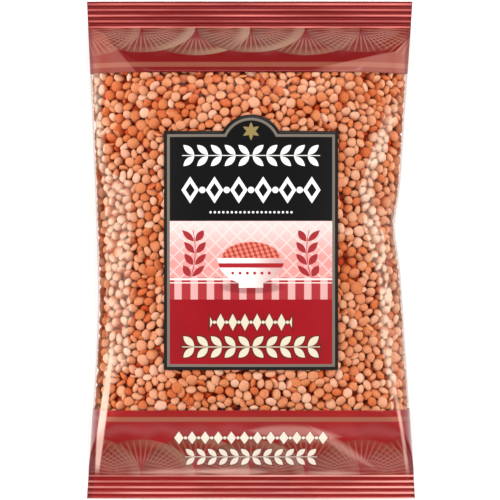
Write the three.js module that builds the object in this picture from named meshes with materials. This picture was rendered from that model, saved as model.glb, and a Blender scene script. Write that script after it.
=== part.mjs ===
import * as THREE from "three";

// A sealed one-kilogram pillow bag of lentils that lies on its back, front side up.
// All lengths are in millimetres. +X is the bag's right, +Y its top end and +Z is up.
// The origin is on the table, under the middle of the bag.

// Overall sizes
const LENGTH = 250; // from the outer edge of one end seal to that of the other
const HEIGHT = 46; // from the table to the crown of the front face

// The end seals, pressed flat between ribbed jaws
const RIB_PITCH = 2.9;
const TOP_SEAL = 4.5 * RIB_PITCH;
const BOTTOM_SEAL = 4 * RIB_PITCH;
const RIB_HEIGHT = 0.9; // from trough to crest
const SEAL_THICKNESS = 1;
const SEAL_LIFT = 14.5; // height of a seal's inner line over the table
const SEAL_DROOP = 0.15; // how much a seal falls for each millimetre outwards

// The outline from above: each side draws in from the two seals to a waist
const LEFT = { top: 82.5, waist: 76.6, waistY: -25, bottom: 82.5, power: 1.35 };
const RIGHT = { top: 81.2, waist: 73.7, waistY: 13, bottom: 82.5, power: 1.1 };
const DENT = { depth: 1.9, y: 11, reach: 14 }; // a soft dent in the right side

// The filled section: the front rises from the side edges, the underside lies flat on the table
const EDGE_LIFT = 19.5; // height of the side edges in the middle of the bag
const CROWN_REACH = 52; // how far from a seal the front face reaches its full height
const BASE_REACH = 54; // the same for the underside
const BASE_FULLNESS = 1.12; // over 1, so that the underside flattens on the table
const CORNER_REACH = 56; // how far from a seal the sides turn from their corner form to the middle form
const TOP_SIDES = { power: 2, root: 1.1 }; // sloping sides that fold up to the top corners
const BOTTOM_SIDES = { power: 13, root: 2.4 }; // narrow, steep sides at the bottom corners
const MIDDLE_SIDES = { power: 2.5, root: 2 };
const FOLD_ROUNDING = 1.6; // softness of the folds between the sides and the end slopes

// Gathers of the film that fan out of each end seal
const PLEATS = 9;
const PLEAT_HEIGHT = 0.8;
const PLEAT_REACH = 30;

// Facets
const COLUMNS = 36; // across one face
const BODY_ROWS = 34; // along the filled length

const TOP_LINE = LENGTH / 2 - TOP_SEAL;
const BOTTOM_LINE = -LENGTH / 2 + BOTTOM_SEAL;

const clamp = THREE.MathUtils.clamp;
const smooth = (t) => THREE.MathUtils.smoothstep(t, 0, 1);
const mix = THREE.MathUtils.lerp;

// Distance into the filled length from the nearer seal; it is below zero on a seal.
const fromSeal = (y) => Math.min(TOP_LINE - y, y - BOTTOM_LINE);

// From 0 at a seal to 1 at the given reach, along a quarter parabola.
const swell = (inward, reach) => 1 - (1 - clamp(inward / reach, 0, 1)) ** 2;

// The smaller of two heights, with the fold between them rounded off.
function softMin(a, b, rounding) {
  const near = Math.max(rounding - Math.abs(a - b), 0) / rounding;
  return Math.min(a, b) - (near * near * rounding) / 4;
}

// Width from the middle line to one side: the waist, widening as a power of the distance from it.
function halfWidth(y, isRight) {
  const side = isRight ? RIGHT : LEFT;
  const above = y > side.waistY;
  const end = above ? side.top : side.bottom;
  const reach = above ? LENGTH / 2 - side.waistY : LENGTH / 2 + side.waistY;
  const flare = (Math.abs(y - side.waistY) / reach) ** side.power;
  const dent = isRight ? DENT.depth * Math.exp(-(((y - DENT.y) / DENT.reach) ** 2)) : 0;
  return side.waist + (end - side.waist) * flare - dent;
}

// Height of the side edges, where the front and the back film meet.
function edgeHeight(y) {
  const inward = fromSeal(y);
  if (inward < 0) return SEAL_LIFT + SEAL_DROOP * inward;
  return mix(SEAL_LIFT, EDGE_LIFT, smooth(inward / CORNER_REACH));
}

// Rise of the front over the side edges across the bag, 1 in the middle and 0 at the edges.
function sideRise(across, y) {
  const corner = y > 0 ? TOP_SIDES : BOTTOM_SIDES;
  const share = smooth(fromSeal(y) / CORNER_REACH);
  const power = mix(corner.power, MIDDLE_SIDES.power, share);
  const root = mix(corner.root, MIDDLE_SIDES.root, share);
  return (1 - Math.abs(across) ** power) ** (1 / root);
}

// Gathers that fan out of a seal and fade into the filled face.
function pleats(across, inward) {
  const fade = smooth(inward / 5) * (1 - smooth(inward / PLEAT_REACH));
  return PLEAT_HEIGHT * fade * Math.cos(PLEATS * Math.PI * across) * (1 - across ** 4);
}

// Waves of the ribs in height; one crest lies on the seal's inner line.
const ribs = (outward) => (RIB_HEIGHT / 2) * Math.cos((2 * Math.PI * outward) / RIB_PITCH);

// Heights of the front and the back film at one place.
function faces(across, y) {
  const inward = fromSeal(y);
  const edge = edgeHeight(y);
  const wall = (SEAL_THICKNESS / 2) * (1 - across ** 12);
  const rib = ribs(inward) * (1 - smooth(inward / RIB_PITCH));
  if (inward <= 0) return { front: edge + rib + wall, back: edge + rib - wall };
  const full = HEIGHT - edge - SEAL_THICKNESS / 2;
  const end = full * swell(inward, CROWN_REACH);
  const side = full * sideRise(across, y);
  const rise = Math.max(0, softMin(end, side, FOLD_ROUNDING * smooth(inward / 8) + 0.01));
  const fill = BASE_FULLNESS * swell(inward, BASE_REACH) * Math.sqrt(1 - Math.abs(across) ** 3);
  const sink = 1 - (1 - Math.min(1, fill)) ** 2;
  const folds = pleats(across, inward) + rib;
  const back = mix(edge + folds - wall, 0, sink);
  return { front: edge + rise + folds + wall, back };
}

// Places of the rows along the bag: a row on each rib's crest and trough, then closer rows where the ends swell.
function rows() {
  const step = RIB_PITCH / 2;
  const bottom = Array.from({ length: Math.round(BOTTOM_SEAL / step) }, (_, i) => -LENGTH / 2 + i * step);
  const top = Array.from({ length: Math.round(TOP_SEAL / step) }, (_, i) => TOP_LINE + (i + 1) * step);
  const body = Array.from({ length: BODY_ROWS + 1 }, (_, i) => {
    const share = i / BODY_ROWS;
    return mix(BOTTOM_LINE, TOP_LINE, mix(share, (1 - Math.cos(Math.PI * share)) / 2, 0.6));
  });
  return [...bottom, ...body, ...top];
}

// One closed skin: each row is a ring that runs along the front to the right and back along the underside.
function bagGeometry() {
  const places = rows();
  const ring = 2 * COLUMNS;
  const positions = [];
  const triangles = [];
  for (const y of places) {
    for (let i = 0; i < ring; i++) {
      const across = -Math.cos((Math.PI * i) / COLUMNS);
      const height = faces(across, y);
      positions.push(across * halfWidth(y, across > 0), y, i <= COLUMNS ? height.front : height.back);
    }
  }
  const at = (row, i) => row * ring + (i % ring);
  for (let row = 0; row + 1 < places.length; row++) {
    for (let i = 0; i < ring; i++) {
      const corners = [at(row, i), at(row, i + 1), at(row + 1, i + 1), at(row + 1, i)];
      const towardsCorner = (i < COLUMNS / 2 || i >= 1.5 * COLUMNS) === places[row] < 0;
      const onFront = i < COLUMNS;
      const [a, b, c, d] = corners;
      if (towardsCorner === onFront) triangles.push(a, b, c, a, c, d);
      else triangles.push(a, b, d, b, c, d);
    }
  }
  const last = places.length - 1;
  for (let i = 0; i < COLUMNS; i++) {
    const front = [i, i + 1];
    const back = [ring - i, ring - i - 1];
    const [a, b] = front.map((k) => at(0, k));
    const [c, d] = back.map((k) => at(0, k));
    const [e, f] = front.map((k) => at(last, k));
    const [g, h] = back.map((k) => at(last, k));
    if (b !== d) triangles.push(a, d, b);
    if (a !== c) triangles.push(a, c, d);
    if (f !== h) triangles.push(e, f, h);
    if (e !== g) triangles.push(e, h, g);
  }
  const geometry = new THREE.BufferGeometry();
  geometry.setAttribute("position", new THREE.Float32BufferAttribute(positions, 3));
  geometry.setIndex(triangles);
  geometry.computeVertexNormals();
  return geometry;
}

const lentils = new THREE.MeshStandardMaterial({ color: 0xe08f63, roughness: 0.25, metalness: 0 });

const bag = new THREE.Mesh(bagGeometry(), lentils);
bag.name = "bag";

const model = new THREE.Group();
model.add(bag);

export default model;
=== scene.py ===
import math

import bpy
import numpy as np
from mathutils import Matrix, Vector


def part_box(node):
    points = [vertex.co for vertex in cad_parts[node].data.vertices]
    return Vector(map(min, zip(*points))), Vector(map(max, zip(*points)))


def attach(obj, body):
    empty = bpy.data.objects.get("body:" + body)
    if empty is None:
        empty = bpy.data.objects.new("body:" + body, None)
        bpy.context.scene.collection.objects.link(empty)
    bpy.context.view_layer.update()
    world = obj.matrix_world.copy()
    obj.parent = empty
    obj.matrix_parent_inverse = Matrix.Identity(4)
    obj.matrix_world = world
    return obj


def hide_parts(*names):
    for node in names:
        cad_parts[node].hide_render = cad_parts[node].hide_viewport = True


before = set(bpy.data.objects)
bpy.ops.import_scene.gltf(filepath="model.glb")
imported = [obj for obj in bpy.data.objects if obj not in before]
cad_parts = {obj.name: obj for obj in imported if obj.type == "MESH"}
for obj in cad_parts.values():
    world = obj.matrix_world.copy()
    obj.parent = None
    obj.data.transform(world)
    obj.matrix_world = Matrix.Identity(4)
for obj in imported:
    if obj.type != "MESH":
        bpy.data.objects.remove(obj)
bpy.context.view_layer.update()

# A clear pillow bag of red lentils that lies on its back with the printed front up.
# Sizes are in metres; MM turns a size in millimetres into metres. +Y is the bag's top end, +Z is up.
MM = 0.001


def rgb(red, green, blue):
    """A screen colour of 0 to 255 as the linear colour that shaders use."""
    share = np.array([red, green, blue]) / 255
    linear = np.where(share <= 0.04045, share / 12.92, ((share + 0.055) / 1.055) ** 2.4)
    return tuple(float(v) for v in linear)


LOW, HIGH = (np.array(corner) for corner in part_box("bag"))

# The end seals
RIB_PITCH = 2.9 * MM
TOP_SEAL = 4.5 * RIB_PITCH
BOTTOM_SEAL = 4 * RIB_PITCH
RIB_HEIGHT = 0.9 * MM
SEAL_THICKNESS = 1.0 * MM
SEAL_LIFT = 14.5 * MM  # height of a seal's inner line over the table
SEAL_DROOP = 0.15  # how much a seal falls for each millimetre outwards
TOP_LINE = HIGH[1] - TOP_SEAL
BOTTOM_LINE = LOW[1] + BOTTOM_SEAL

# The outline from above: widths from the middle line at the ends and at the waist
LEFT = {"top": -LOW[0], "waist": 76.6 * MM, "waist_y": -25 * MM, "bottom": -LOW[0], "power": 1.35}
RIGHT = {"top": HIGH[0] - 1.3 * MM, "waist": 73.7 * MM, "waist_y": 13 * MM, "bottom": HIGH[0], "power": 1.1}
DENT = {"depth": 1.9 * MM, "y": 11 * MM, "reach": 14 * MM}

# The filled section
CROWN = HIGH[2]
EDGE_LIFT = 19.5 * MM
CROWN_REACH = 52 * MM
BASE_REACH = 54 * MM
BASE_FULLNESS = 1.12
CORNER_REACH = 56 * MM
TOP_SIDES = {"power": 2, "root": 1.1}
BOTTOM_SIDES = {"power": 13, "root": 2.4}
MIDDLE_SIDES = {"power": 2.5, "root": 2}
FOLD_ROUNDING = 1.6 * MM
PLEATS = 9
PLEAT_HEIGHT = 0.8 * MM
PLEAT_REACH = 30 * MM

# The print: where the red ends, with their gold stripes, and the label lie
TOP_PRINT = 88.3 * MM
BOTTOM_PRINT = -79.3 * MM
TOP_STRIPE = (90.9 * MM, 93.4 * MM)
BOTTOM_STRIPE = (-84.9 * MM, -82.6 * MM)
LABEL_HALF_WIDTH = 43.0 * MM
LABEL_SHOULDER = 58.7 * MM
LABEL_FOOT = -59.2 * MM
LABEL_ARCH_HALF_WIDTH = 14.0 * MM
LABEL_ARCH_RISE = 8.1 * MM
LABEL_ARCH_RADIUS = (LABEL_ARCH_HALF_WIDTH**2 + LABEL_ARCH_RISE**2) / (2 * LABEL_ARCH_RISE)
PICTURE_TOP = 14.3 * MM
PICTURE_FOOT = -24.4 * MM
PRINT_PROUD = 0.1 * MM
SEAM_HALF_WIDTH = 6.2 * MM

# The gold shells on the print, in millimetres
SHELL_RADIUS = 27.0
SHELL_PITCH = 55.0
SHELL_RIB_DEGREES = 7.5
ARC_PER_DEGREE = 0.0175  # length of the arc of one degree at a distance of one

# The creases at the bottom corners, in millimetres: x and y of a point, and the lean to the right going up
LEFT_CREASE = (-69.6, -53, 0.13)
RIGHT_CREASE = (74.2, -86, -0.17)

# The lentils
WHOLE_RADIUS = (2.3 * MM, 3.25 * MM)
WHOLE_HALF_THICKNESS = (1.35 * MM, 1.8 * MM)
SPLIT_HALF_THICKNESS = (0.7 * MM, 0.95 * MM)
FRONT_DEPTH = 6.5 * MM
BACK_DEPTH = 4.4 * MM
CORE_DEPTH = 6.2 * MM
SIDE_DEPTH = 9 * MM
CORE_SIDE_DEPTH = 7 * MM
FILM_GAP = 0.25 * MM
LABEL_INSET = 9 * MM  # how far in from the label's edge the front layer still goes
CORE_LABEL_INSET = 12 * MM  # the same for the step in the filling behind it

# The packing
TRIES = 70000  # random places over the whole box, of which the first ones inside are kept
FILL_SHARE = 0.93  # number of lentils, as a share of what would fill the layer
PACK_STEPS = 120
SPREAD_STEPS = 100  # the steps in which lentils also move out to the film
CONTACT = 0.98  # share of their summed radii at which two lentils touch
PUSH_SHARE = 0.45  # share of an overlap that each of the two moves in a step

# Each kind of lentil: its share of the filling, and the colours of its skin from painted deep shade to pale
TONE_STOPS = (0.0, 0.3, 0.6, 0.95)
LENTIL_KINDS = [
    ("lentils_orange", 0.36, (rgb(170, 48, 12), rgb(177, 79, 32), rgb(183, 110, 69), rgb(196, 139, 107))),
    ("lentils_deep", 0.26, (rgb(164, 44, 12), rgb(173, 71, 28), rgb(180, 103, 61), rgb(194, 131, 97))),
    ("lentils_pale", 0.26, (rgb(172, 58, 20), rgb(181, 96, 54), rgb(190, 128, 94), rgb(203, 155, 129))),
    ("lentils_split", 0.12, (rgb(164, 46, 12), rgb(173, 73, 29), rgb(181, 105, 63), rgb(195, 132, 98))),
]
KIND_SHARES = [share for _, share, _ in LENTIL_KINDS]
SPLIT = 3


def smooth(t):
    """Three t squared minus two t cubed, held between 0 and 1."""
    t = np.clip(t, 0, 1)
    return t * t * (3 - 2 * t)


def mix(a, b, share):
    """The value that lies the given share of the way from a to b."""
    return a + (b - a) * share


def swell(inward, reach):
    """A quarter parabola from 0 at a seal to 1 at the given reach."""
    return 1 - (1 - np.clip(inward / reach, 0, 1)) ** 2


def soft_min(a, b, rounding):
    """The smaller of a and b, less a quarter of the rounding where they are equal, fading as they part."""
    near = np.maximum(rounding - np.abs(a - b), 0) / rounding
    return np.minimum(a, b) - near * near * rounding / 4


def from_seal(y):
    """Distance into the filled length from the nearer seal, below zero on a seal."""
    return np.minimum(TOP_LINE - y, y - BOTTOM_LINE)


def side_width(y, side):
    """Width on one side: the waist, widening towards each end as a power of the distance from the waist."""
    above = y > side["waist_y"]
    end = np.where(above, side["top"], side["bottom"])
    reach = np.where(above, HIGH[1] - side["waist_y"], side["waist_y"] - LOW[1])
    flare = (np.abs(y - side["waist_y"]) / reach) ** side["power"]
    return side["waist"] + (end - side["waist"]) * flare


def half_width(y, on_right):
    """Width from the middle line to a side, less a bell-shaped dent in the right one."""
    dent = DENT["depth"] * np.exp(-(((y - DENT["y"]) / DENT["reach"]) ** 2))
    return np.where(on_right, side_width(y, RIGHT) - dent, side_width(y, LEFT))


def edge_height(y):
    """Height of the side edges: the seals droop outwards, the filled length rises to its middle height."""
    inward = from_seal(y)
    filled = mix(SEAL_LIFT, EDGE_LIFT, smooth(inward / CORNER_REACH))
    return np.where(inward < 0, SEAL_LIFT + SEAL_DROOP * inward, filled)


def side_rise(across, y):
    """One minus a power of the place across, under a root: both numbers turn from corner to middle form."""
    share = smooth(from_seal(y) / CORNER_REACH)
    power = mix(np.where(y > 0, TOP_SIDES["power"], BOTTOM_SIDES["power"]), MIDDLE_SIDES["power"], share)
    root = mix(np.where(y > 0, TOP_SIDES["root"], BOTTOM_SIDES["root"]), MIDDLE_SIDES["root"], share)
    return np.maximum(1 - np.abs(across) ** power, 0) ** (1 / root)


def pleats(across, inward):
    """A cosine across the bag that fades out from the seals."""
    fade = smooth(inward / (5 * MM)) * (1 - smooth(inward / PLEAT_REACH))
    return PLEAT_HEIGHT * fade * np.cos(PLEATS * np.pi * across) * (1 - across**4)


def film_heights(across, y):
    """Heights of the front and the back film: the lower of the end swell and the side rise over the edges."""
    inward = from_seal(y)
    edge = edge_height(y)
    wall = SEAL_THICKNESS / 2 * (1 - np.abs(across) ** 12)
    wave = RIB_HEIGHT / 2 * np.cos(2 * np.pi * inward / RIB_PITCH)
    rib = wave * (1 - smooth(inward / RIB_PITCH))
    full = CROWN - edge - SEAL_THICKNESS / 2
    rounding = FOLD_ROUNDING * smooth(inward / (8 * MM)) + 0.01 * MM
    rise = np.maximum(soft_min(full * swell(inward, CROWN_REACH), full * side_rise(across, y), rounding), 0)
    folds = rib + pleats(across, inward) * (inward > 0)
    fill = BASE_FULLNESS * swell(inward, BASE_REACH) * np.sqrt(np.maximum(1 - np.abs(across) ** 3, 0))
    sink = 1 - (1 - np.minimum(fill, 1)) ** 2
    return edge + rise + folds + wall, mix(edge + folds - wall, 0, sink)


def heights_at(x, y):
    """Heights of the front and the back film over a place on the table."""
    return film_heights(np.clip(x / half_width(y, x > 0), -1, 1), y)


def ring_rows(places, columns, inset=0.0):
    """Rows of points round the bag, each from left to right over the front and back along the underside.

    A row is the section of the film at one place along the bag, with its points spaced by a cosine.
    inset moves every point inwards along the surface's normal.
    """
    turn = np.arange(2 * columns) / columns * np.pi
    across = -np.cos(turn)[None, :]
    y = np.asarray(places)[:, None] + 0 * across
    across = across + 0 * y
    front, back = film_heights(across, y)
    on_front = np.arange(2 * columns) <= columns
    points = np.stack([across * half_width(y, across > 0), y, np.where(on_front, front, back)], axis=-1)
    return points - inset * grid_normals(points)


def grid_normals(points):
    """Unit normals of rows that close round: the step along a row crossed with that between rows."""
    along = np.roll(points, -1, axis=1) - np.roll(points, 1, axis=1)
    between = np.gradient(points, axis=0)
    normals = np.cross(along, between)
    return normals / np.maximum(np.linalg.norm(normals, axis=-1, keepdims=True), 1e-12)


def ring_faces(rows, columns):
    """Quads between the rows of a closed ring, and quads and triangles that cap its first and last row."""
    ring = 2 * columns
    row, i = np.meshgrid(np.arange(rows - 1), np.arange(ring), indexing="ij")
    a, b = row * ring + i, row * ring + (i + 1) % ring
    sides = np.stack([a, b, b + ring, a + ring], axis=-1).reshape(-1, 4)
    k = np.arange(1, columns - 1)
    start = np.stack([k, ring - k, ring - k - 1, k + 1], axis=-1)
    start_tips = np.array([[0, ring - 1, 1], [columns - 1, columns + 1, columns]])
    last = (rows - 1) * ring
    quads = np.concatenate([sides, start, start[:, ::-1] + last])
    return quads, np.concatenate([start_tips, start_tips[:, ::-1] + last])


def make_piece(name, points, face_sets, material):
    """A smooth mesh piece from an array of points and arrays of faces, which stands for the bag."""
    mesh = bpy.data.meshes.new(name)
    corners = np.concatenate([faces.ravel() for faces in face_sets]).astype(np.int32)
    sizes = np.concatenate([np.full(len(faces), faces.shape[1]) for faces in face_sets])
    starts = np.concatenate([[0], np.cumsum(sizes)[:-1]]).astype(np.int32)
    mesh.vertices.add(len(points))
    mesh.vertices.foreach_set("co", np.ascontiguousarray(points, dtype=np.float32).ravel())
    mesh.loops.add(len(corners))
    mesh.loops.foreach_set("vertex_index", corners)
    mesh.polygons.add(len(starts))
    mesh.polygons.foreach_set("loop_start", starts)
    mesh.update(calc_edges=True)
    mesh.validate()
    mesh.shade_smooth()
    mesh.materials.append(material)
    piece = bpy.data.objects.new(name, mesh)
    bpy.context.scene.collection.objects.link(piece)
    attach(piece, "root")
    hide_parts("bag")
    return piece


def set_values(piece, name, values):
    """Stores a number for each point of a piece, which its material reads by this name."""
    flat = np.ascontiguousarray(values, dtype=np.float32).ravel()
    piece.data.attributes.new(name, "FLOAT", "POINT").data.foreach_set("value", flat)


def edge_gap(points):
    """Distance in from the side edge."""
    x, y = points[..., 0], points[..., 1]
    return half_width(y, x > 0) - np.abs(x)


class Field:
    """A number that changes over a surface: a shader socket that Python's operators work on."""

    def __init__(self, shader, socket):
        self.shader = shader
        self.socket = socket

    def _math(self, operation, *values):
        return self.shader.value("ShaderNodeMath", {"operation": operation}, dict(enumerate(values)))

    def __add__(self, other):
        return self._math("ADD", self, other)

    def __sub__(self, other):
        return self._math("SUBTRACT", self, other)

    def __mul__(self, other):
        return self._math("MULTIPLY", self, other)

    def __truediv__(self, other):
        return self._math("DIVIDE", self, other)

    def __rsub__(self, other):
        return self._math("SUBTRACT", other, self)

    def __abs__(self):
        return self._math("ABSOLUTE", self)

    __radd__ = __add__
    __rmul__ = __mul__

    def smallest(self, other):
        return self._math("MINIMUM", self, other)

    def largest(self, other):
        return self._math("MAXIMUM", self, other)

    def root(self):
        return self._math("SQRT", self)

    def angle(self, other):
        """The direction of the point (other, self), in degrees."""
        return self._math("ARCTAN2", self, other) * math.degrees(1)

    def repeat(self, period):
        """Distance from the middle of the nearest period, between minus and plus half of it."""
        return self._math("WRAP", self, period / 2, -period / 2)

    def above(self, limit, blur):
        """0 below the limit and 1 above it, with a soft step of the width blur."""
        return self.shader.value(
            "ShaderNodeMapRange",
            {"interpolation_type": "SMOOTHSTEP"},
            {"Value": self, "From Min": limit - blur / 2, "From Max": limit + blur / 2},
        )

    def below(self, limit, blur):
        """1 below the limit and 0 above it."""
        return 1 - self.above(limit, blur)

    def between(self, low, high, blur):
        """1 between the two limits and 0 outside them."""
        return self.above(low, blur) * self.below(high, blur)


class Shader:
    """The nodes of a material or of the surround, under construction."""

    def __init__(self, owner):
        self.owner = owner
        owner.use_nodes = True
        self.tree = owner.node_tree
        self.tree.nodes.clear()

    @classmethod
    def material(cls, name):
        return cls(bpy.data.materials.new(name))

    def node(self, kind, settings=None, inputs=None):
        """Adds a node: its settings first, then its sockets' values or links."""
        node = self.tree.nodes.new(kind)
        for key, value in (settings or {}).items():
            if key == "stops":
                self._fill_ramp(node.color_ramp, value)
            else:
                setattr(node, key, value)
        for key, value in (inputs or {}).items():
            value = getattr(value, "socket", value)
            if isinstance(value, bpy.types.NodeSocket):
                self.tree.links.new(value, node.inputs[key])
            else:
                node.inputs[key].default_value = value
        return node

    @staticmethod
    def _fill_ramp(ramp, stops):
        while len(ramp.elements) < len(stops):
            ramp.elements.new(0.5)
        for element, (place, colour) in zip(ramp.elements, stops):
            element.position = place
            element.color = (*colour, 1)

    def value(self, kind, settings=None, inputs=None, output=0):
        return Field(self, self.node(kind, settings, inputs).outputs[output])

    def place(self):
        """The x, y and z of a point of the piece, in millimetres."""
        coordinates = self.node("ShaderNodeTexCoord").outputs["Object"]
        parts = self.node("ShaderNodeSeparateXYZ", inputs={0: coordinates})
        return [Field(self, parts.outputs[i]) * 1000 for i in range(3)]

    def stored(self, name):
        """The number that set_values stored on the piece."""
        return self.value("ShaderNodeAttribute", {"attribute_name": name}, None, output=2)

    def noise(self, size_mm, detail=2.0, stretch=(1, 1, 1)):
        """Noise between about 0 and 1 with lumps of the given size."""
        coordinates = self.node("ShaderNodeTexCoord").outputs["Object"]
        scaled = self.node("ShaderNodeMapping", inputs={"Vector": coordinates, "Scale": stretch})
        inputs = {"Vector": scaled.outputs[0], "Scale": 1000 / size_mm, "Detail": detail}
        return self.value("ShaderNodeTexNoise", None, inputs)

    def ramp(self, field, stops):
        return self.value("ShaderNodeValToRGB", {"stops": stops}, {"Fac": field})

    def blend(self, share, a, b):
        """The colour a turned into b by the share."""
        a, b = ((*c, 1) if isinstance(c, tuple) else c for c in (a, b))
        return self.value("ShaderNodeMix", {"data_type": "RGBA"}, {0: share, 6: a, 7: b}, output=2)

    def bump(self, height_mm):
        """A normal from a height in millimetres."""
        return self.value("ShaderNodeBump", None, {"Height": height_mm, "Distance": MM, "Strength": 1.0})

    def principled(self, **inputs):
        named = {key.replace("_", " "): value for key, value in inputs.items()}
        return self.node("ShaderNodeBsdfPrincipled", None, named).outputs[0]

    def finish(self, surface):
        self.node("ShaderNodeOutputMaterial", None, {"Surface": surface})
        return self.owner

    def finish_clear(self, cover, surface):
        """Ends a clear material: see-through, but for the share of the surface that the cover gives."""
        clear = self.node("ShaderNodeBsdfTransparent").outputs[0]
        mixed = self.node("ShaderNodeMixShader", None, {0: cover, 1: clear, 2: surface})
        return self.finish(mixed.outputs[0])


def turned(x, y, degrees):
    """Coordinates along and across a direction that leans by the angle from +x."""
    c, s = math.cos(math.radians(degrees)), math.sin(math.radians(degrees))
    return x * c + y * s, y * c - x * s


def leaf(along, across, length, width):
    """Above zero inside a pointed leaf: its half width falls as a parabola to nothing at both tips."""
    share = along * (2 / length)
    return (1 - share * share) * (width / 2) - abs(across)


def disc(x, y, radius):
    """Above zero inside a circle, in millimetres from its edge."""
    return radius - (x * x + y * y).root()


def lozenge(x, y, half_width, half_height):
    """Above zero inside a diamond, in millimetres of its height."""
    return half_height - abs(x) * (half_height / half_width) - abs(y)


def leaf_row(x, y, half_length, pitch, length, width):
    """Above zero on pairs of leaves that lean outwards along a row, on a thin stem."""
    out = abs(x)
    cell = (out - pitch / 2).repeat(pitch)
    along, across = turned(cell + 0.36 * length, abs(y) - 0.12 * width, 42)
    leaves = leaf(along - 0.5 * length, across, length, width).smallest(half_length - out)
    stem = (0.06 * width - abs(y)).smallest(half_length - out)
    return leaves.largest(stem)


def bead_row(x, y, half_length, pitch, radius):
    """Above zero on round beads in a row."""
    return disc((x - pitch / 2).repeat(pitch), y, radius).smallest(half_length - abs(x))


def lozenge_row(x, y, half_length, pitch, half_height):
    """Above zero on diamonds in a row, with a small bead between each two."""
    diamonds = lozenge((x - pitch / 2).repeat(pitch), y, pitch * 0.36, half_height)
    beads = disc(x.repeat(pitch), y, min(half_height * 0.24, pitch * 0.13))
    return diamonds.largest(beads).smallest(half_length - 0.14 * pitch - abs(x))


def from_crease(x, y, crease):
    """Distance to the right of a straight crease, in millimetres."""
    at_x, at_y, lean = crease
    return x - at_x - (y - at_y) * lean


def crease_highlights(x, y):
    """1 on the painted highlights along the two straight creases at the bottom corners, the left one a wedge,
    widest on the print.
    """
    left = (0.9 + 0.9 * y.between(-102, -62, 30)) - abs(from_crease(x, y, LEFT_CREASE))
    right = 0.75 - abs(from_crease(x, y, RIGHT_CREASE))
    left = left.above(0, 0.9) * y.between(-110, -48, 8)
    return left.largest(right.above(0, 0.9) * y.between(-110, -66, 12) * 0.6)


def painted_reflections(s, x, y, rim, touch):
    """How milky the film looks along the sides: a painted reflection of the side lights, strongest where the
    film touches lentils, and the painted crease highlights.
    """
    waves = s.noise(11.0, detail=1.0) - 0.5
    # The painted reflection's left strip, wider along the middle of the bag
    wide = y.between(-60, 37, 7)
    near = 1.8 + 3.2 * y.below(40, 24) + waves * 1.6
    left = rim.above(near, 0.7) * rim.below(near + 4 + wide * 8.5 + waves * 6, 1.0) * y.between(-68, 92, 12)
    # The painted reflection's right strip: where its line runs, its half width, then the faint painted
    # reflection outside it
    down = (29 - y).largest(0)
    line = 56.4 + (y - 29).largest(0) * 0.34 + down.smallest(43) * 0.24 + (down - 70).largest(0) * 0.13
    half = 3.2 + 1.2 * y.between(-8, 16, 14) - 1.2 * y.below(-50, 30)
    right = (half + waves * 2.4 - abs(x - line)).above(0, 1.1) * y.between(-74, 68, 22) * 1.3
    outside = (x - line).above(0, 3) * y.between(-80, 30, 20) * 0.35
    side = x.below(0, 2)
    reflection = left * side + right.largest(outside) * (1 - side)
    reflection = reflection * (0.7 + 0.6 * s.noise(7.0, detail=2.0))
    return (reflection * (0.08 + 0.34 * touch)).largest(crease_highlights(x, y) * 0.5)


def film_material():
    """Clear film with a mirror-like sheen, painted reflections as a milky cover along the sides, painted
    crease highlights, and painted shade as a dark tint at the very edge.
    """
    s = Shader.material("clear_film")
    x, y, _ = s.place()
    rim, touch = s.stored("rim"), s.stored("touch")
    relief = s.noise(5.0, detail=1.0) * 0.12 + s.noise(17.0, detail=1.0) * 0.6 + touch * 0.25
    normal = s.bump(relief)
    fresnel = s.value("ShaderNodeFresnel", None, {"IOR": 1.5, "Normal": normal})
    sheen = (fresnel * 0.3).smallest(0.1)
    # Painted shade: a dark tint over the outermost millimetre of the film; the pale tint colours the sheen
    # and the painted reflections
    edge = rim.below(1.2, 1.0)
    cover = (sheen + painted_reflections(s, x, y, rim, touch).largest(edge * 0.35)).smallest(0.9)
    tint = s.blend(edge, (0.76, 0.6, 0.46), (0.11, 0.055, 0.035))
    return s.finish_clear(cover, s.principled(
        Base_Color=tint, Metallic=sheen / cover, Specular_IOR_Level=0.2, Roughness=0.1, Normal=normal))


def ink_relief(s):
    """Slight waves of the printed film."""
    return s.noise(7.0, detail=1.0) * 0.12 + s.noise(24.0, detail=1.0) * 0.4


def shells(s, x, depth, steepness, strength, colour):
    """Paints two rows of wide shells over a colour: gold ribs that fan out on a dull gold ground."""
    pale, dark, line = rgb(136, 106, 85), rgb(88, 46, 33), rgb(142, 94, 75)
    for shift, rise in ((27.5, 1.5), (0.0, 0.0)):
        along = (x - shift).repeat(SHELL_PITCH)
        up = (depth - rise) * steepness
        away = (along * along + up * up).root()
        inside = away.below(SHELL_RADIUS, 0.5) * depth.above(0, 0.4)
        lean = along * 0.02 + 0.5
        ground = s.blend(away.above(22, 6) * lean.above(0.5, 0.7), dark, pale)
        colour = s.blend(inside * away.above(17, 16) * strength, colour, ground)
        off_rib = abs(up.angle(along).repeat(SHELL_RIB_DEGREES))
        ribs = (0.36 - off_rib * away * ARC_PER_DEGREE).above(0, 0.4)
        colour = s.blend(inside * ribs * away.between(10, 26, 6) * 0.55, colour, line)
    return colour


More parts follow.
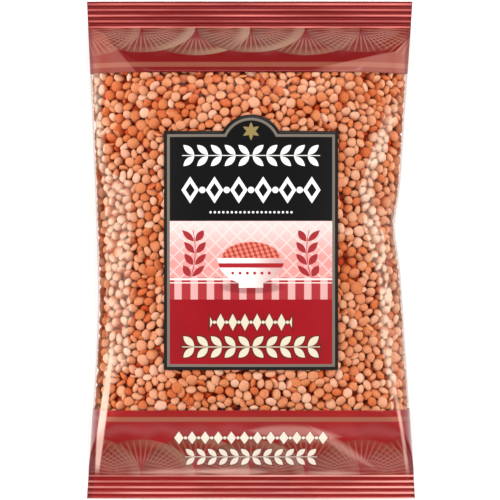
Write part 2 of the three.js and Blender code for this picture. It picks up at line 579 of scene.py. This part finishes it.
def band_material():
    """Red printed film of the two ends: gold shells, a gold stripe, and rows of leaves and diamonds, with
    painted highlights and shade.
    """
    s = Shader.material("red_print")
    x, y, z = s.place()
    front = s.stored("front")
    top, bottom = y.above(0, 10), y.below(0, 1)
    outward = (y - TOP_LINE / MM).largest(BOTTOM_LINE / MM - y)
    # Painted shade: the top end's red and gold are darker than the bottom end's
    red = s.blend(top, rgb(138, 19, 19), rgb(100, 9, 10))
    red = s.blend(s.noise(30.0).above(0.5, 0.6) * 0.5, red, rgb(98, 8, 9))
    gold = s.blend(top, rgb(138, 76, 57), rgb(120, 62, 46))
    strength = 0.15 - 0.07 * top + abs(x + 10).below(45, 70) * (0.42 + 0.33 * top)
    colour = shells(s, x, outward * -1, 1.4 + 0.6 * top, strength, red)
    for low, high in (TOP_STRIPE, BOTTOM_STRIPE):
        colour = s.blend(y.between(low / MM, high / MM, 0.3), colour, gold)
    # Painted gloss highlights on the bottom end: place to the right and down, length, width, lean and
    # strength
    for at, down, long, tall, degrees, share in (
        (22.0, 91.0, 48.0, 9.0, -4, 0.24),
        (46.0, 98.5, 42.0, 5.0, -34, 0.26),
        (-34.0, 111.2, 60.0, 3.6, 1, 0.5),
        (-8.0, 111.2, 36.0, 4.6, 0, 0.5),
        (40.0, 112.0, 34.0, 3.0, 0, 0.5),
    ):
        gloss_highlight = leaf(*turned(x - at, y + down, degrees), long, tall)
        colour = s.blend(gloss_highlight.above(0.6, 2.6) * front * share, colour, rgb(218, 168, 154))
    cream = rgb(212, 200, 184)
    for row in (
        lozenge_row(x, y + 93.2, 39.0, 6.5, 3.3),
        leaf_row(x, y + 103.2, 33.0, 5.5, 5.8, 2.7),
    ):
        colour = s.blend(row.above(-0.55, 0.5) * 0.6, colour, rgb(84, 26, 20))
        colour = s.blend(row.above(0, 0.3), colour, cream)
    # Painted highlights on the top end's two slanting facets, then painted shade outside the creases and
    # along the side edges
    right_facet = (90 + (x - 32) * 0.23 + (x - 72).largest(0) * 0.7 - y).above(0, 0.8) * x.above(36, 14)
    left_facet = (76.1 - 0.44 * x).smallest(20.5 - 1.19 * x) - y
    facet_highlights = right_facet.largest(left_facet.above(0, 1.6) * x.below(-40, 30) * 0.6) * y.above(0, 1)
    colour = s.blend(facet_highlights * front * 0.19, colour, rgb(214, 150, 130))
    outside_left = from_crease(x, y, LEFT_CREASE).below(-1.2, 0.8)
    outside_right = from_crease(x, y, RIGHT_CREASE).above(1.2, 0.8)
    shade = s.stored("rim").below(1.8, 1.4).largest(outside_left.largest(outside_right) * bottom)
    colour = s.blend(shade * front * 0.6, colour, rgb(84, 10, 10))
    colour = s.blend(crease_highlights(x, y) * front * 0.8, colour, rgb(218, 176, 164))
    lap = abs(abs(x) - SEAM_HALF_WIDTH / MM).below(0.35, 0.3) * z.below(11, 1)
    colour = s.blend(lap * 0.5, colour, rgb(70, 6, 8))
    # The seals' ribs: painted shade in the troughs, and painted glints on the crests, weaker on every other
    # one
    pitch = RIB_PITCH / MM
    crest = abs(outward.repeat(pitch))
    on_seal = outward.above(-0.5, 0.3)
    colour = s.blend(crest.above(pitch * 0.38, pitch * 0.24) * on_seal * 0.25, colour, rgb(84, 6, 7))
    rightwards = 0.95 + x * 0.003 * bottom
    crest_glints = crest.below(0.45, 0.8) * on_seal * (s.noise(6.0, stretch=(0.12, 1, 1)) * 2.2 - 0.4) * rightwards
    every_other = abs((outward / pitch).repeat(2))
    crest_glints = crest_glints.smallest(1.0).largest(0.0) * outward.below(12.4, 0.4).largest(bottom)
    crest_glints = crest_glints * (1 - every_other * (0.12 + 0.28 * top))
    colour = s.blend(crest_glints * 0.85, colour, s.blend(top, rgb(234, 158, 148), rgb(221, 120, 112)))
    return s.finish(s.principled(
        Base_Color=colour, Roughness=0.2, Specular_IOR_Level=0.22, Normal=s.bump(ink_relief(s))))


def picture(s, x, y):
    """A bowl heaped with lentils on a striped cloth, between two sprigs, in front of a pale trellis."""
    # The wall with its trellis
    wall = s.blend(y.above(4, 22), rgb(196, 130, 124), rgb(208, 178, 174))
    slant = abs((x + y).repeat(7.0)).smallest(abs((x - y).repeat(7.0)))
    wall = s.blend(slant.below(0.5, 0.5) * 0.45, wall, rgb(216, 198, 196))
    # The striped cloth and its hem
    stripes = abs(x.repeat(8.0)).below(2.2, 0.4)
    cloth = s.blend(stripes, rgb(190, 144, 140), rgb(144, 42, 46))
    hem = abs(y + 14.4).below(0.5, 0.3).largest(abs(y + 16.2).below(0.25, 0.3))
    cloth = s.blend(hem, cloth, rgb(210, 190, 186))
    colour = s.blend(y.below(-13.6, 0.4), wall, cloth)
    # A sprig on each side, which bends outwards from its foot on the cloth
    stem = y + 13.4
    for side in (-1, 1):
        bend = x - side * (27.5 + (y * y) * 0.012)
        sprig = leaf_row(stem, bend, 23.2, 5.8, 7.4, 3.2).smallest(stem)
        colour = s.blend(sprig.above(0, 0.3), colour, rgb(136, 38, 42))
    # The heap of lentils, the bowl's shade, then the bowl with its foot and bands
    heap = disc(x * (8.5 / 14.5), y + 4.5, 8.5).smallest(y + 4.5)
    grain = disc((x + y * 0.4).repeat(2.6), (y - x * 0.2).repeat(2.1), 0.95)
    filling = s.blend(grain.above(0, 0.4), rgb(140, 52, 46), rgb(196, 106, 88))
    colour = s.blend(heap.above(0, 0.3), colour, filling)
    shade = disc(x * (3.0 / 15.0), y + 18.4, 3.0)
    colour = s.blend(shade.above(0, 1.2) * 0.5, colour, rgb(92, 20, 24))
    bowl = disc(x * (13.0 / 16.5), y + 4.0, 13.0).smallest(-4.0 - y)
    bowl = bowl.largest((6.0 - abs(x)).smallest(y + 18.6).smallest(-15.0 - y))
    glaze = s.blend(x.above(4, 22), rgb(222, 214, 210), rgb(176, 140, 138))
    glaze = s.blend(abs(y + 7.6).below(1.1, 0.3), glaze, rgb(142, 30, 36))
    glaze = s.blend(bead_row(x, y + 11.4, 12.0, 3.6, 0.75).above(0, 0.3), glaze, rgb(142, 30, 36))
    return s.blend(bowl.above(0, 0.3), colour, glaze)


def label_material():
    """Printed label: black, picture and red fields inside a silver line, with rows of leaves and diamonds."""
    s = Shader.material("label_print")
    x, y, _ = s.place()
    middle = (LABEL_SHOULDER + LABEL_FOOT) / 2 / MM
    half_height = (LABEL_SHOULDER - LABEL_FOOT) / 2 / MM
    radius = LABEL_ARCH_RADIUS / MM
    centre = (LABEL_SHOULDER + LABEL_ARCH_RISE) / MM - radius
    in_box = (LABEL_HALF_WIDTH / MM - abs(x)).smallest(half_height - abs(y - middle))
    in_arch = disc(x, y - centre, radius)
    inside = in_box.largest(in_arch)
    black = rgb(13, 12, 12)
    red = s.blend(s.noise(26.0).above(0.5, 0.5), rgb(133, 17, 25), rgb(124, 14, 22))
    field = s.blend(y.above(PICTURE_TOP / MM, 0.25), picture(s, x, y), black)
    field = s.blend(y.below(PICTURE_FOOT / MM, 0.25), field, red)
    white = rgb(214, 213, 211)
    rows = (
        leaf_row(x, y - 46.6, 34.0, 6.8, 7.2, 3.0),
        lozenge_row(x, y - 29.6, 36.0, 12.0, 6.6),
        bead_row(x, y - 18.6, 21.0, 2.1, 0.55),
    )
    for row in rows:
        field = s.blend(row.above(0, 0.3), field, white)
    inner = lozenge((x - 6.0).repeat(12.0), y - 29.6, 2.3, 3.4).smallest(36.0 - abs(x))
    field = s.blend(inner.above(0, 0.3), field, black)
    cream = rgb(188, 180, 160)
    for row in (
        lozenge_row(x, y + 35.6, 21.0, 6.0, 4.2),
        leaf_row(x, y + 47.8, 34.0, 6.8, 7.2, 3.4),
    ):
        field = s.blend(row.above(-0.9, 0.7) * 0.75, field, rgb(74, 30, 20))
        field = s.blend(row.above(0, 0.3), field, cream)
    # The rosette in the arch, then the silver line inside the dark rim
    petals = None
    for degrees in (90, 30, -30):
        petal = leaf(*turned(x, y - 58.6, degrees), 9.0, 2.6)
        petals = petal if petals is None else petals.largest(petal)
    field = s.blend(petals.above(0, 0.3), field, rgb(124, 108, 66))
    framed = s.blend(inside.below(2.9, 0.25), field, rgb(99, 91, 83))
    colour = s.blend(inside.below(1.55, 0.25), framed, rgb(17, 14, 13))
    return s.finish(s.principled(
        Base_Color=colour, Roughness=0.3, Specular_IOR_Level=0.16, Normal=s.bump(ink_relief(s) * 0.6)))


def lentil_material(name, skin):
    """Dull skin of a lentil: each lentil's own tone with painted shade by depth, fine mottling, and painted
    shade near the side edges.
    """
    s = Shader.material(name)
    mottle = s.noise(1.1, detail=3.0) - 0.5
    colour = s.ramp(s.stored("tone") + mottle * 0.3, list(zip(TONE_STOPS, skin)))
    colour = s.blend(s.stored("shade") * 0.8, colour, rgb(90, 36, 15))
    relief = s.noise(0.6, detail=2.0) * 0.05
    return s.finish(s.principled(
        Base_Color=colour, Roughness=0.6, Specular_IOR_Level=0.08, Normal=s.bump(relief),
        Subsurface_Weight=0.4, Subsurface_Radius=(1.0, 0.3, 0.12), Subsurface_Scale=1.4 * MM))


def core_material():
    """Deep shade between the lentils."""
    s = Shader.material("deep_lentils")
    colour = s.ramp(s.noise(4.0, detail=3.0), [(0.3, rgb(208, 48, 8)), (0.7, rgb(224, 72, 18))])
    return s.finish(s.principled(
        Base_Color=colour, Roughness=0.8, Specular_IOR_Level=0.05, Normal=s.bump(s.noise(4.0) * 1.5)))


def floor_material():
    """Pale, nearly even floor."""
    s = Shader.material("pale_floor")
    colour = s.blend(s.noise(60.0, detail=3.0), (0.86, 0.86, 0.86), (0.88, 0.88, 0.88))
    return s.finish(s.principled(Base_Color=colour, Roughness=0.7, Specular_IOR_Level=0.2))


def table_grid(step):
    """Low corner and numbers of points of a grid over the bag and two millimetres round it."""
    return LOW[:2] - 2 * MM, ((HIGH[:2] - LOW[:2] + 4 * MM) / step).astype(int) + 1


def lentil_tops(lentils, low, counts, step):
    """Heights of the lentils' upper sides on a grid: the upper root of each flattened ball's equation."""
    points, axis = lentils["points"], lentils["axis"]
    flat, thick = lentils["radius"][:, None, None] ** -2, lentils["half"][:, None, None] ** -2
    form = flat * np.eye(3) + (thick - flat) * axis[:, :, None] * axis[:, None, :]
    cell = np.rint((points[:, :2] - low) / step).astype(int)
    reach = int(WHOLE_RADIUS[1] / step) + 1
    i, j = np.meshgrid(np.arange(-reach, reach + 1), np.arange(-reach, reach + 1), indexing="ij")
    i, j = cell[:, 0, None] + i.ravel(), cell[:, 1, None] + j.ravel()
    dx, dy = low[0] + step * i - points[:, 0, None], low[1] + step * j - points[:, 1, None]
    entries = ((0, 0), (0, 1), (1, 1), (0, 2), (1, 2), (2, 2))
    xx, xy, yy, xz, yz, zz = (form[:, a, b, None] for a, b in entries)
    slant = xz * dx + yz * dy
    inside = slant**2 - zz * (xx * dx**2 + 2 * xy * dx * dy + yy * dy**2 - 1)
    top = points[:, 2, None] + (np.sqrt(np.maximum(inside, 0)) - slant) / zz
    hit = (inside > 0) & (i >= 0) & (j >= 0) & (i < counts[0]) & (j < counts[1])
    heights = np.zeros(counts)
    np.maximum.at(heights, (i[hit], j[hit]), top[hit])
    return heights


def film_touch(points, lentils):
    """1 where the front film lies on a lentil, fading to 0 where it is over a millimetre away."""
    step = 0.5 * MM
    low, counts = table_grid(step)
    heights = lentil_tops(lentils, low, counts, step)
    i, j = np.moveaxis(np.rint((points[..., :2] - low) / step).astype(int), -1, 0)
    gap = (points[..., 2] - heights[i, j]) * np.abs(grid_normals(points)[..., 2])
    return 1 - smooth((gap - 0.3 * MM) / MM)


def make_film(lentils):
    """The clear film between the printed ends, closed by caps that lie hidden under the print."""
    columns, rows = 140, 200
    places = np.linspace(BOTTOM_PRINT - 4 * MM, TOP_PRINT + 4 * MM, rows)
    points = ring_rows(places, columns)
    on_back = np.arange(2 * columns) > columns
    film = make_piece("film", points.reshape(-1, 3), ring_faces(rows, columns), film_material())
    set_values(film, "rim", np.where(on_back, 60, edge_gap(points) / MM))
    set_values(film, "touch", np.where(on_back, 0.5, film_touch(points, lentils)))


def make_printed_end(name, edge, line, end):
    """One printed end as a thin sleeve: an inner wall from the seal to the print's edge, then the outer."""
    columns = 150
    outward = 1 if end > line else -1
    inner = np.linspace(line - outward * 0.8 * MM, edge, 22)
    swell_rows = np.linspace(edge, line, 30)[:-1]
    seal_rows = np.linspace(line, end, 44)
    inner_wall = ring_rows(inner, columns, inset=-0.25 * MM * outward)
    outer_wall = ring_rows(np.concatenate([swell_rows, seal_rows]), columns, inset=-PRINT_PROUD * outward)
    rows = np.concatenate([inner_wall, outer_wall])
    on_front = np.arange(2 * columns) <= columns
    quads, tips = ring_faces(len(rows), columns)
    if outward < 0:
        quads, tips = quads[:, ::-1], tips[:, ::-1]
    sleeve = make_piece(name, rows.reshape(-1, 3), (quads, tips), band_material())
    set_values(sleeve, "rim", edge_gap(rows) / MM)
    set_values(sleeve, "front", np.broadcast_to(on_front, rows.shape[:2]))


def slab_faces(m, n):
    """Faces of a thin slab: a grid of m by n points, the same grid below it and the strip round them."""
    i, j = np.meshgrid(np.arange(m - 1), np.arange(n - 1), indexing="ij")
    a = (i * n + j).ravel()
    face = np.stack([a, a + n, a + n + 1, a + 1], axis=-1)
    rim = np.concatenate([
        np.arange(m) * n, (m - 1) * n + np.arange(1, n), (np.arange(m - 2, -1, -1)) * n + n - 1,
        np.arange(n - 2, 0, -1)])
    following = np.roll(rim, -1)
    side = np.stack([rim + m * n, following + m * n, following, rim], axis=-1)
    return face, face[:, ::-1] + m * n, side


def make_label():
    """A thin slab on the front film: columns that run from the foot up to the shoulder or the arch."""
    sides = np.linspace(LABEL_ARCH_HALF_WIDTH, LABEL_HALF_WIDTH, 21)
    under_arch = np.linspace(-LABEL_ARCH_HALF_WIDTH, LABEL_ARCH_HALF_WIDTH, 31)[1:-1]
    x = np.concatenate([-sides[::-1], under_arch, sides])
    arch = np.sqrt(np.maximum(LABEL_ARCH_RADIUS**2 - x**2, 0)) - (LABEL_ARCH_RADIUS - LABEL_ARCH_RISE)
    top = LABEL_SHOULDER + np.maximum(arch, 0)
    share = np.linspace(0, 1, 90)
    x = np.repeat(x[:, None], len(share), axis=1)
    y = mix(LABEL_FOOT, top[:, None], share[None, :])
    z = heights_at(x, y)[0]
    upper = np.stack([x, y, z + PRINT_PROUD], axis=-1)
    lower = np.stack([x, y, z + PRINT_PROUD / 4], axis=-1)
    points = np.concatenate([upper.reshape(-1, 3), lower.reshape(-1, 3)])
    make_piece("label", points, slab_faces(*x.shape), label_material())


def seam_material():
    """Two clear layers pressed together along the back: a little milky, with fine lengthwise lines."""
    s = Shader.material("back_seam")
    x, y, _ = s.place()
    lines = abs(x.repeat(1.5)).below(0.3, 0.3)
    cover = 0.16 + lines * 0.12 + abs(abs(x) - 5.8).below(0.3, 0.3) * 0.25 + s.noise(12.0) * 0.08
    return s.finish_clear(cover, s.principled(
        Base_Color=(0.93, 0.84, 0.76, 1), Roughness=0.25, Normal=s.bump(lines * 0.15)))


def make_back_seam():
    """The lap seam down the middle of the back, a thin strip just outside the film between the two prints."""
    across = np.linspace(-SEAM_HALF_WIDTH, SEAM_HALF_WIDTH, 9)
    x, y = np.meshgrid(across, np.linspace(BOTTOM_PRINT, TOP_PRINT, 80), indexing="ij")
    z = heights_at(x, y)[1]
    layers = [np.stack([x, y, z - drop], axis=-1).reshape(-1, 3) for drop in (0.03 * MM, 0.09 * MM)]
    make_piece("back_seam", np.concatenate(layers), slab_faces(*x.shape), seam_material())


def near_pairs(points, reach):
    """Pairs of points closer than the reach, found through a grid of cells of that size."""
    cells = np.floor((points - points.min(0)) / reach).astype(np.int64) + 1
    size = cells.max(0) + 2
    strides = np.array([size[1] * size[2], size[2], 1])
    key = cells @ strides
    order = np.argsort(key, kind="stable")
    ordered = key[order]
    steps = np.array([(i, j, k) for i in (-1, 0, 1) for j in (-1, 0, 1) for k in (-1, 0, 1)]) @ strides
    firsts, seconds = [], []
    for step in steps[steps >= 0]:
        start = np.searchsorted(ordered, key + step, "left")
        stop = np.searchsorted(ordered, key + step, "right")
        for k in range(int((stop - start).max())):
            there = np.flatnonzero(start + k < stop)
            other = order[start[there] + k]
            if step == 0:
                there, other = there[there < other], other[there < other]
            firsts.append(there)
            seconds.append(other)
    a, b = np.concatenate(firsts), np.concatenate(seconds)
    close = np.linalg.norm(points[a] - points[b], axis=1) < reach
    return a[close], b[close]


class FilmMap:
    """Heights and slopes of both films on a fine grid over the table, for quick distances from them."""

    def __init__(self, step=0.75 * MM):
        self.step = step
        self.low, counts = table_grid(step)
        x = self.low[0] + step * np.arange(counts[0])[:, None] + np.zeros(counts)
        y = self.low[1] + step * np.arange(counts[1])[None, :] + np.zeros(counts)
        self.sides = [(z, *np.gradient(z, step)) for z in heights_at(x, y)]

    def gaps(self, points):
        """For each film: distance inside it, to first order, and its outward unit normal."""
        place = (points[:, :2] - self.low) / self.step
        i, j = np.clip(np.rint(place).astype(int), 0, np.array(self.sides[0][0].shape) - 1).T
        offset = (place - np.stack([i, j], axis=1)) * self.step
        for sign, (z, dx, dy) in zip((1, -1), self.sides):
            slope = np.stack([dx[i, j], dy[i, j]], axis=1)
            height = z[i, j] + (slope * offset).sum(1)
            normal = sign * np.column_stack([-slope, np.ones(len(points))])
            length = np.linalg.norm(normal, axis=1)
            yield sign * (height - points[:, 2]) / length, normal / length[:, None]


def support(axis, direction, radius, half_thickness):
    """How far a flattened ball reaches in a direction: the root of its squared half sizes by their shares."""
    along = (axis * direction).sum(1) ** 2
    return np.sqrt(radius**2 * (1 - along) + half_thickness**2 * along)


def radius_towards(axis, direction, radius, half_thickness):
    """A flattened ball's own radius in a direction."""
    along = (axis * direction).sum(1) ** 2
    return 1 / np.sqrt((1 - along) / radius**2 + along / half_thickness**2)


def unit(vectors):
    """Each vector divided by its length."""
    return vectors / np.linalg.norm(vectors, axis=1, keepdims=True)


def leaned(axis, direction, depth, rate):
    """How axes turn towards the nearer end of a direction: the depth of contact in millimetres by a rate."""
    return np.sign((axis * direction).sum(1))[:, None] * direction * (depth / MM)[:, None] * rate


def hidden_by_label(points, inset):
    """Whether points lie well under the label."""
    x, y = np.abs(points[:, 0]), points[:, 1]
    return (x < LABEL_HALF_WIDTH - inset) & (y < LABEL_SHOULDER - inset) & (y > LABEL_FOOT + inset)


def pack_lentils(rng, film):
    """Lentils packed in a layer under the film: random places, then steps that push apart what overlaps."""
    zone = np.array([[LOW[0], BOTTOM_PRINT - 8 * MM, 0], [HIGH[0], TOP_PRINT + 8 * MM, CROWN]])
    points = rng.uniform(zone[0], zone[1], (TRIES, 3))
    (front, _), (back, _) = film.gaps(points)
    inside = (front > 1.2 * MM) & (back > 1.2 * MM)
    inside &= np.abs(points[:, 0]) < half_width(points[:, 1], points[:, 0] > 0) - 1.5 * MM
    under_label = hidden_by_label(points, LABEL_INSET)
    beside = edge_gap(points) < SIDE_DEPTH
    layer = ((front < FRONT_DEPTH) & ~under_label) | (back < BACK_DEPTH) | beside
    points = points[inside & layer]
    density = TRIES / np.prod(zone[1] - zone[0])
    one_lentil = 4 / 3 * np.pi * np.mean(WHOLE_RADIUS) ** 2 * np.mean(WHOLE_HALF_THICKNESS)
    count = int(len(points) / density * FILL_SHARE / one_lentil)
    points = points[:count]
    kind = rng.choice(len(KIND_SHARES), count, p=KIND_SHARES)
    radius = rng.uniform(*WHOLE_RADIUS, count)
    split_half = rng.uniform(*SPLIT_HALF_THICKNESS, count)
    whole_half = rng.uniform(*WHOLE_HALF_THICKNESS, count)
    half = np.where(kind == SPLIT, split_half, whole_half)
    axis = unit(rng.normal(size=(count, 3)))
    for step in range(PACK_STEPS):
        if step % 6 == 0:
            a, b = near_pairs(points, 2 * WHOLE_RADIUS[1] + 0.5 * MM)
        between = points[b] - points[a]
        distance = np.maximum(np.linalg.norm(between, axis=1), 1e-6)
        towards = between / distance[:, None]
        room = sum(radius_towards(axis[item], towards, radius[item], half[item]) for item in (a, b))
        overlap = np.maximum(room * CONTACT - distance, 0)
        push = PUSH_SHARE * overlap[:, None] * towards
        move = np.zeros_like(points)
        turn = np.zeros_like(points)
        for item, sign in ((a, -1), (b, 1)):
            lean = leaned(axis[item], towards, overlap, 0.03)
            for d in range(3):
                move[:, d] += np.bincount(item, sign * push[:, d], count)
                turn[:, d] += np.bincount(item, lean[:, d], count)
        points = points + move
        axis = unit(axis + turn)
        sides = list(film.gaps(points))
        nearer = np.where((sides[0][0] < sides[1][0])[:, None], sides[0][1], sides[1][1])
        points = points + nearer * 0.05 * MM * (step < SPREAD_STEPS)
        for gap, normal in sides:
            lack = np.maximum(support(axis, normal, radius, half) + FILM_GAP - gap, 0)
            points = points - normal * lack[:, None]
            axis = unit(axis + leaned(axis, normal, lack, 0.1))
        limit = half_width(points[:, 1], points[:, 0] > 0) - 0.8 * radius
        points[:, 0] = np.clip(points[:, 0], -limit, limit)
    depth = np.minimum(*(gap for gap, _ in film.gaps(points)))
    return {"points": points, "axis": axis, "radius": radius, "half": half, "kind": kind, "depth": depth}


def lentil_shape(flat_side):
    """A unit lentil of four rings of faces: a flattened ball, or half of one with a nearly flat side."""
    segments = 12
    rings = np.radians([-42, 0, 42])
    angle = np.arange(segments) / segments * 2 * np.pi
    points = [[0, 0, -1]]
    for tilt in rings:
        flat, height = math.cos(tilt), math.sin(tilt)
        points += [[flat * math.cos(t), flat * math.sin(t), height] for t in angle]
    points = np.array(points + [[0, 0, 1]])
    if flat_side:
        cut, dimple, widening = -0.72, -0.62, 1.22
        points[points[:, 2] < -0.1, 2] = cut
        points[0, 2] = dimple
        rim = np.abs(points[:, 2] - cut) < 0.01
        points[rim, :2] *= widening
    i = np.arange(segments)
    j = (i + 1) % segments
    quads = np.concatenate([
        np.stack([1 + k * segments + i, 1 + k * segments + j, 1 + (k + 1) * segments + j,
                  1 + (k + 1) * segments + i], axis=-1) for k in range(2)])
    top = len(points) - 1
    caps = np.concatenate([
        np.stack([0 * i, 1 + j, 1 + i], axis=-1),
        np.stack([0 * i + top, 1 + 2 * segments + i, 1 + 2 * segments + j], axis=-1)])
    return points, quads, caps


def drawn_inside(placed):
    """Lentils pulled in until every point of theirs lies inside the film, and whether each one then does."""
    margin, side_margin, tolerance = 0.1 * MM, 0.8 * MM, 0.06 * MM
    for _ in range(8):
        x, y, z = placed[..., 0], placed[..., 1], placed[..., 2]
        front, back = heights_at(x, y)
        over = np.maximum((z - front).max(1) + margin, 0)
        under = np.maximum((back - z).max(1) + margin, 0)
        beside = np.maximum((np.abs(x) - half_width(y, x > 0)).max(1) + side_margin, 0)
        fits = np.maximum(over, np.maximum(under, beside)) < tolerance
        middle = placed.mean(1)
        inwards = beside + np.minimum(over, under)
        shift = np.stack([-np.sign(middle[:, 0]) * inwards, 0 * over, 0.8 * (under - over)], axis=-1)
        placed = placed + shift[:, None, :]
    return placed, fits


def film_depth(points):
    """Depth of points behind the film: the least of their distances to the front, the back and the side."""
    x, y, z = points[..., 0], points[..., 1], points[..., 2]
    front, back = heights_at(x, y)
    return np.minimum(np.minimum(front - z, z - back), edge_gap(points))


def make_lentils(name, lentils, flat_side, material, rng):
    """All lentils of one kind as one mesh: the unit lentil with an uneven rim, sized, turned and placed."""
    points, axis, radius, half = (lentils[key] for key in ("points", "axis", "radius", "half"))
    count = len(points)
    shape, quads, caps = lentil_shape(flat_side)
    angle = np.arctan2(shape[:, 1], shape[:, 0])[None, :]
    phase = rng.uniform(0, 2 * np.pi, (2, count, 1))
    uneven = 1 + 0.05 * np.cos(2 * angle + phase[0]) + 0.03 * np.cos(3 * angle + phase[1])
    local = shape[None] * np.stack([radius, radius, half], axis=-1)[:, None, :]
    local[:, :, :2] *= uneven[:, :, None]
    helper = unit(rng.normal(size=(count, 3)))
    first = unit(np.cross(axis, helper))
    second = np.cross(axis, first)
    frame_axes = np.stack([first, second, axis], axis=1)
    placed, fits = drawn_inside(points[:, None, :] + np.einsum("nvk,nkd->nvd", local, frame_axes))
    placed = placed[fits]
    offset = (np.arange(len(placed)) * len(shape))[:, None, None]
    faces = [(f[None] + offset).reshape(-1, f.shape[1]) for f in (quads, caps)]
    piece = make_piece(name, placed.reshape(-1, 3), faces, material)
    # Painted shade: lentils far behind the film are darker as a whole, and each one's own points darken with
    # their depth
    sunk = smooth((lentils["depth"][fits] - 2.6 * MM) / (2.6 * MM))
    tone_and_sunk_shade = rng.uniform(0.42, 1.08, len(placed)) * (1 - 0.8 * sunk)
    deep = smooth((film_depth(placed) - MM) / (3.4 * MM))
    set_values(piece, "tone", tone_and_sunk_shade[:, None] * (1 - 0.7 * deep))
    # Painted shade on the lentils along the side edges, more widely on the left, but only on the upper half
    # of the bag
    middle = placed.mean(1)
    shade_width = np.where(middle[:, 0] < 0, 2.6, 1.5)
    upper = smooth(middle[:, 2] / (5 * MM) - 3.2)
    shade = (1 - smooth((edge_gap(middle) / MM - shade_width) / 4.0)) * upper
    set_values(piece, "shade", np.repeat(shade, len(shape)))


def make_core():
    """The filling behind the visible lentils: the bag's section drawn in by the depth of their layer."""
    columns, rows = 60, 90
    places = np.linspace(BOTTOM_PRINT - 7 * MM, TOP_PRINT + 7 * MM, rows)
    ring = ring_rows(places, columns)
    x, y = ring[..., 0], ring[..., 1]
    x = x * (1 - CORE_SIDE_DEPTH / half_width(y, x > 0))
    front, back = heights_at(x, y)
    flat = np.stack([x.ravel(), y.ravel()], axis=-1)
    under = hidden_by_label(flat, CORE_LABEL_INSET).reshape(x.shape)
    depth = np.where(under, 2.5 * MM, CORE_DEPTH)
    on_front = np.arange(2 * columns)[None, :] <= columns
    middle = (front + back) / 2
    edge = np.abs(x) / (half_width(y, x > 0) - CORE_SIDE_DEPTH)
    top = np.maximum(front - depth, middle + 0.3 * MM * (1 - edge))
    foot = np.minimum(back + BACK_DEPTH - 1.2 * MM, middle - 0.3 * MM * (1 - edge))
    ring = np.stack([x, y, np.where(on_front, top, foot)], axis=-1)
    faces = ring_faces(rows, columns)
    make_piece("lentils_core", ring.reshape(-1, 3), faces, core_material())


def aim(thing, place, target):
    """Puts a light or camera at a place and turns it to a target."""
    thing.location = place
    thing.rotation_euler = (Vector(target) - Vector(place)).to_track_quat("-Z", "Y").to_euler()


def add_softbox(name, place, size, radiance, target=(0, 0, 0.02), glossy=True):
    """A rectangular light of even radiance: its power is that times pi and its area."""
    light = bpy.data.lights.new(name, "AREA")
    light.shape = "RECTANGLE"
    light.size, light.size_y = size
    light.energy = radiance * math.pi * size[0] * size[1]
    lamp = bpy.data.objects.new(name, light)
    lamp.visible_glossy = glossy
    bpy.context.scene.collection.objects.link(lamp)
    aim(lamp, place, target)


def add_surround():
    """A soft dome of light: dark overhead, brightest half way up at the sides, dim beyond the ends."""
    world = bpy.data.worlds.new("studio")
    bpy.context.scene.world = world
    s = Shader(world)
    direction = s.node("ShaderNodeTexCoord").outputs["Generated"]
    parts = s.node("ShaderNodeSeparateXYZ", inputs={0: direction})
    aside, height = Field(s, parts.outputs[0]), Field(s, parts.outputs[2])
    grey = [(0.0, 0.12), (0.2, 0.25), (0.4, 0.8), (0.84, 0.9), (0.95, 0.3), (1.0, 0.2)]
    level = s.ramp(height, [(place, (value,) * 3) for place, value in grey])
    strength = 0.95 + 0.5 * abs(aside).above(0.3, 0.5)
    background = s.node("ShaderNodeBackground", None, {"Color": level, "Strength": strength})
    s.node("ShaderNodeOutputWorld", None, {"Surface": background.outputs[0]})


def add_studio():
    """A pale floor, a soft surround, upright light panels at the bag's sides and strips beyond its ends."""
    half = 3.0
    corners = np.array([[-half, -half, 0], [half, -half, 0], [half, half, 0], [-half, half, 0]])
    mesh = bpy.data.meshes.new("floor")
    mesh.from_pydata((corners - [0, 0, 0.15 * MM]).tolist(), [], [(0, 1, 2, 3)])
    mesh.materials.append(floor_material())
    floor = bpy.data.objects.new("floor", mesh)
    bpy.context.scene.collection.objects.link(floor)
    add_surround()
    # Each light's place, size, radiance and, where it isn't the bag, its target
    add_softbox("left_panel", (-1.25, 0.0, 0.55), (1.6, 0.55), 9.0, (0, 0, 0.3), glossy=False)
    add_softbox("right_panel", (1.25, 0.0, 0.55), (1.6, 0.45), 7.0, (0, 0, 0.3), glossy=False)
    add_softbox("top_box", (0.3, 1.15, 1.1), (1.3, 0.6), 6.5)
    add_softbox("foot_strip", (0.0, -1.5, 0.6), (1.2, 0.2), 3.0)


def add_camera():
    """Straight above the bag with a long lens, the bag's top end at the top of the picture."""
    distance = 1.6
    seal_height = 13 * MM
    view_width = 251.5 * MM
    data = bpy.data.cameras.new("camera")
    data.sensor_width = 36
    data.lens = data.sensor_width * distance / view_width
    data.clip_start, data.clip_end = 0.05, 20
    camera = bpy.data.objects.new("camera", data)
    bpy.context.scene.collection.objects.link(camera)
    camera.location = (-0.5 * MM, 0, distance + seal_height)
    bpy.context.scene.camera = camera


bpy.context.scene.view_settings.view_transform = "Standard"
rng = np.random.default_rng(11)
lentils = pack_lentils(rng, FilmMap())
make_film(lentils)
for name, edge, line, end in (
    ("print_top", TOP_PRINT, TOP_LINE, HIGH[1]),
    ("print_bottom", BOTTOM_PRINT, BOTTOM_LINE, LOW[1]),
):
    make_printed_end(name, edge, line, end)
make_label()
make_back_seam()
make_core()
for number, (name, _, skin) in enumerate(LENTIL_KINDS):
    chosen = {key: values[lentils["kind"] == number] for key, values in lentils.items()}
    make_lentils(name, chosen, number == SPLIT, lentil_material(name, skin), rng)
add_studio()
add_camera()
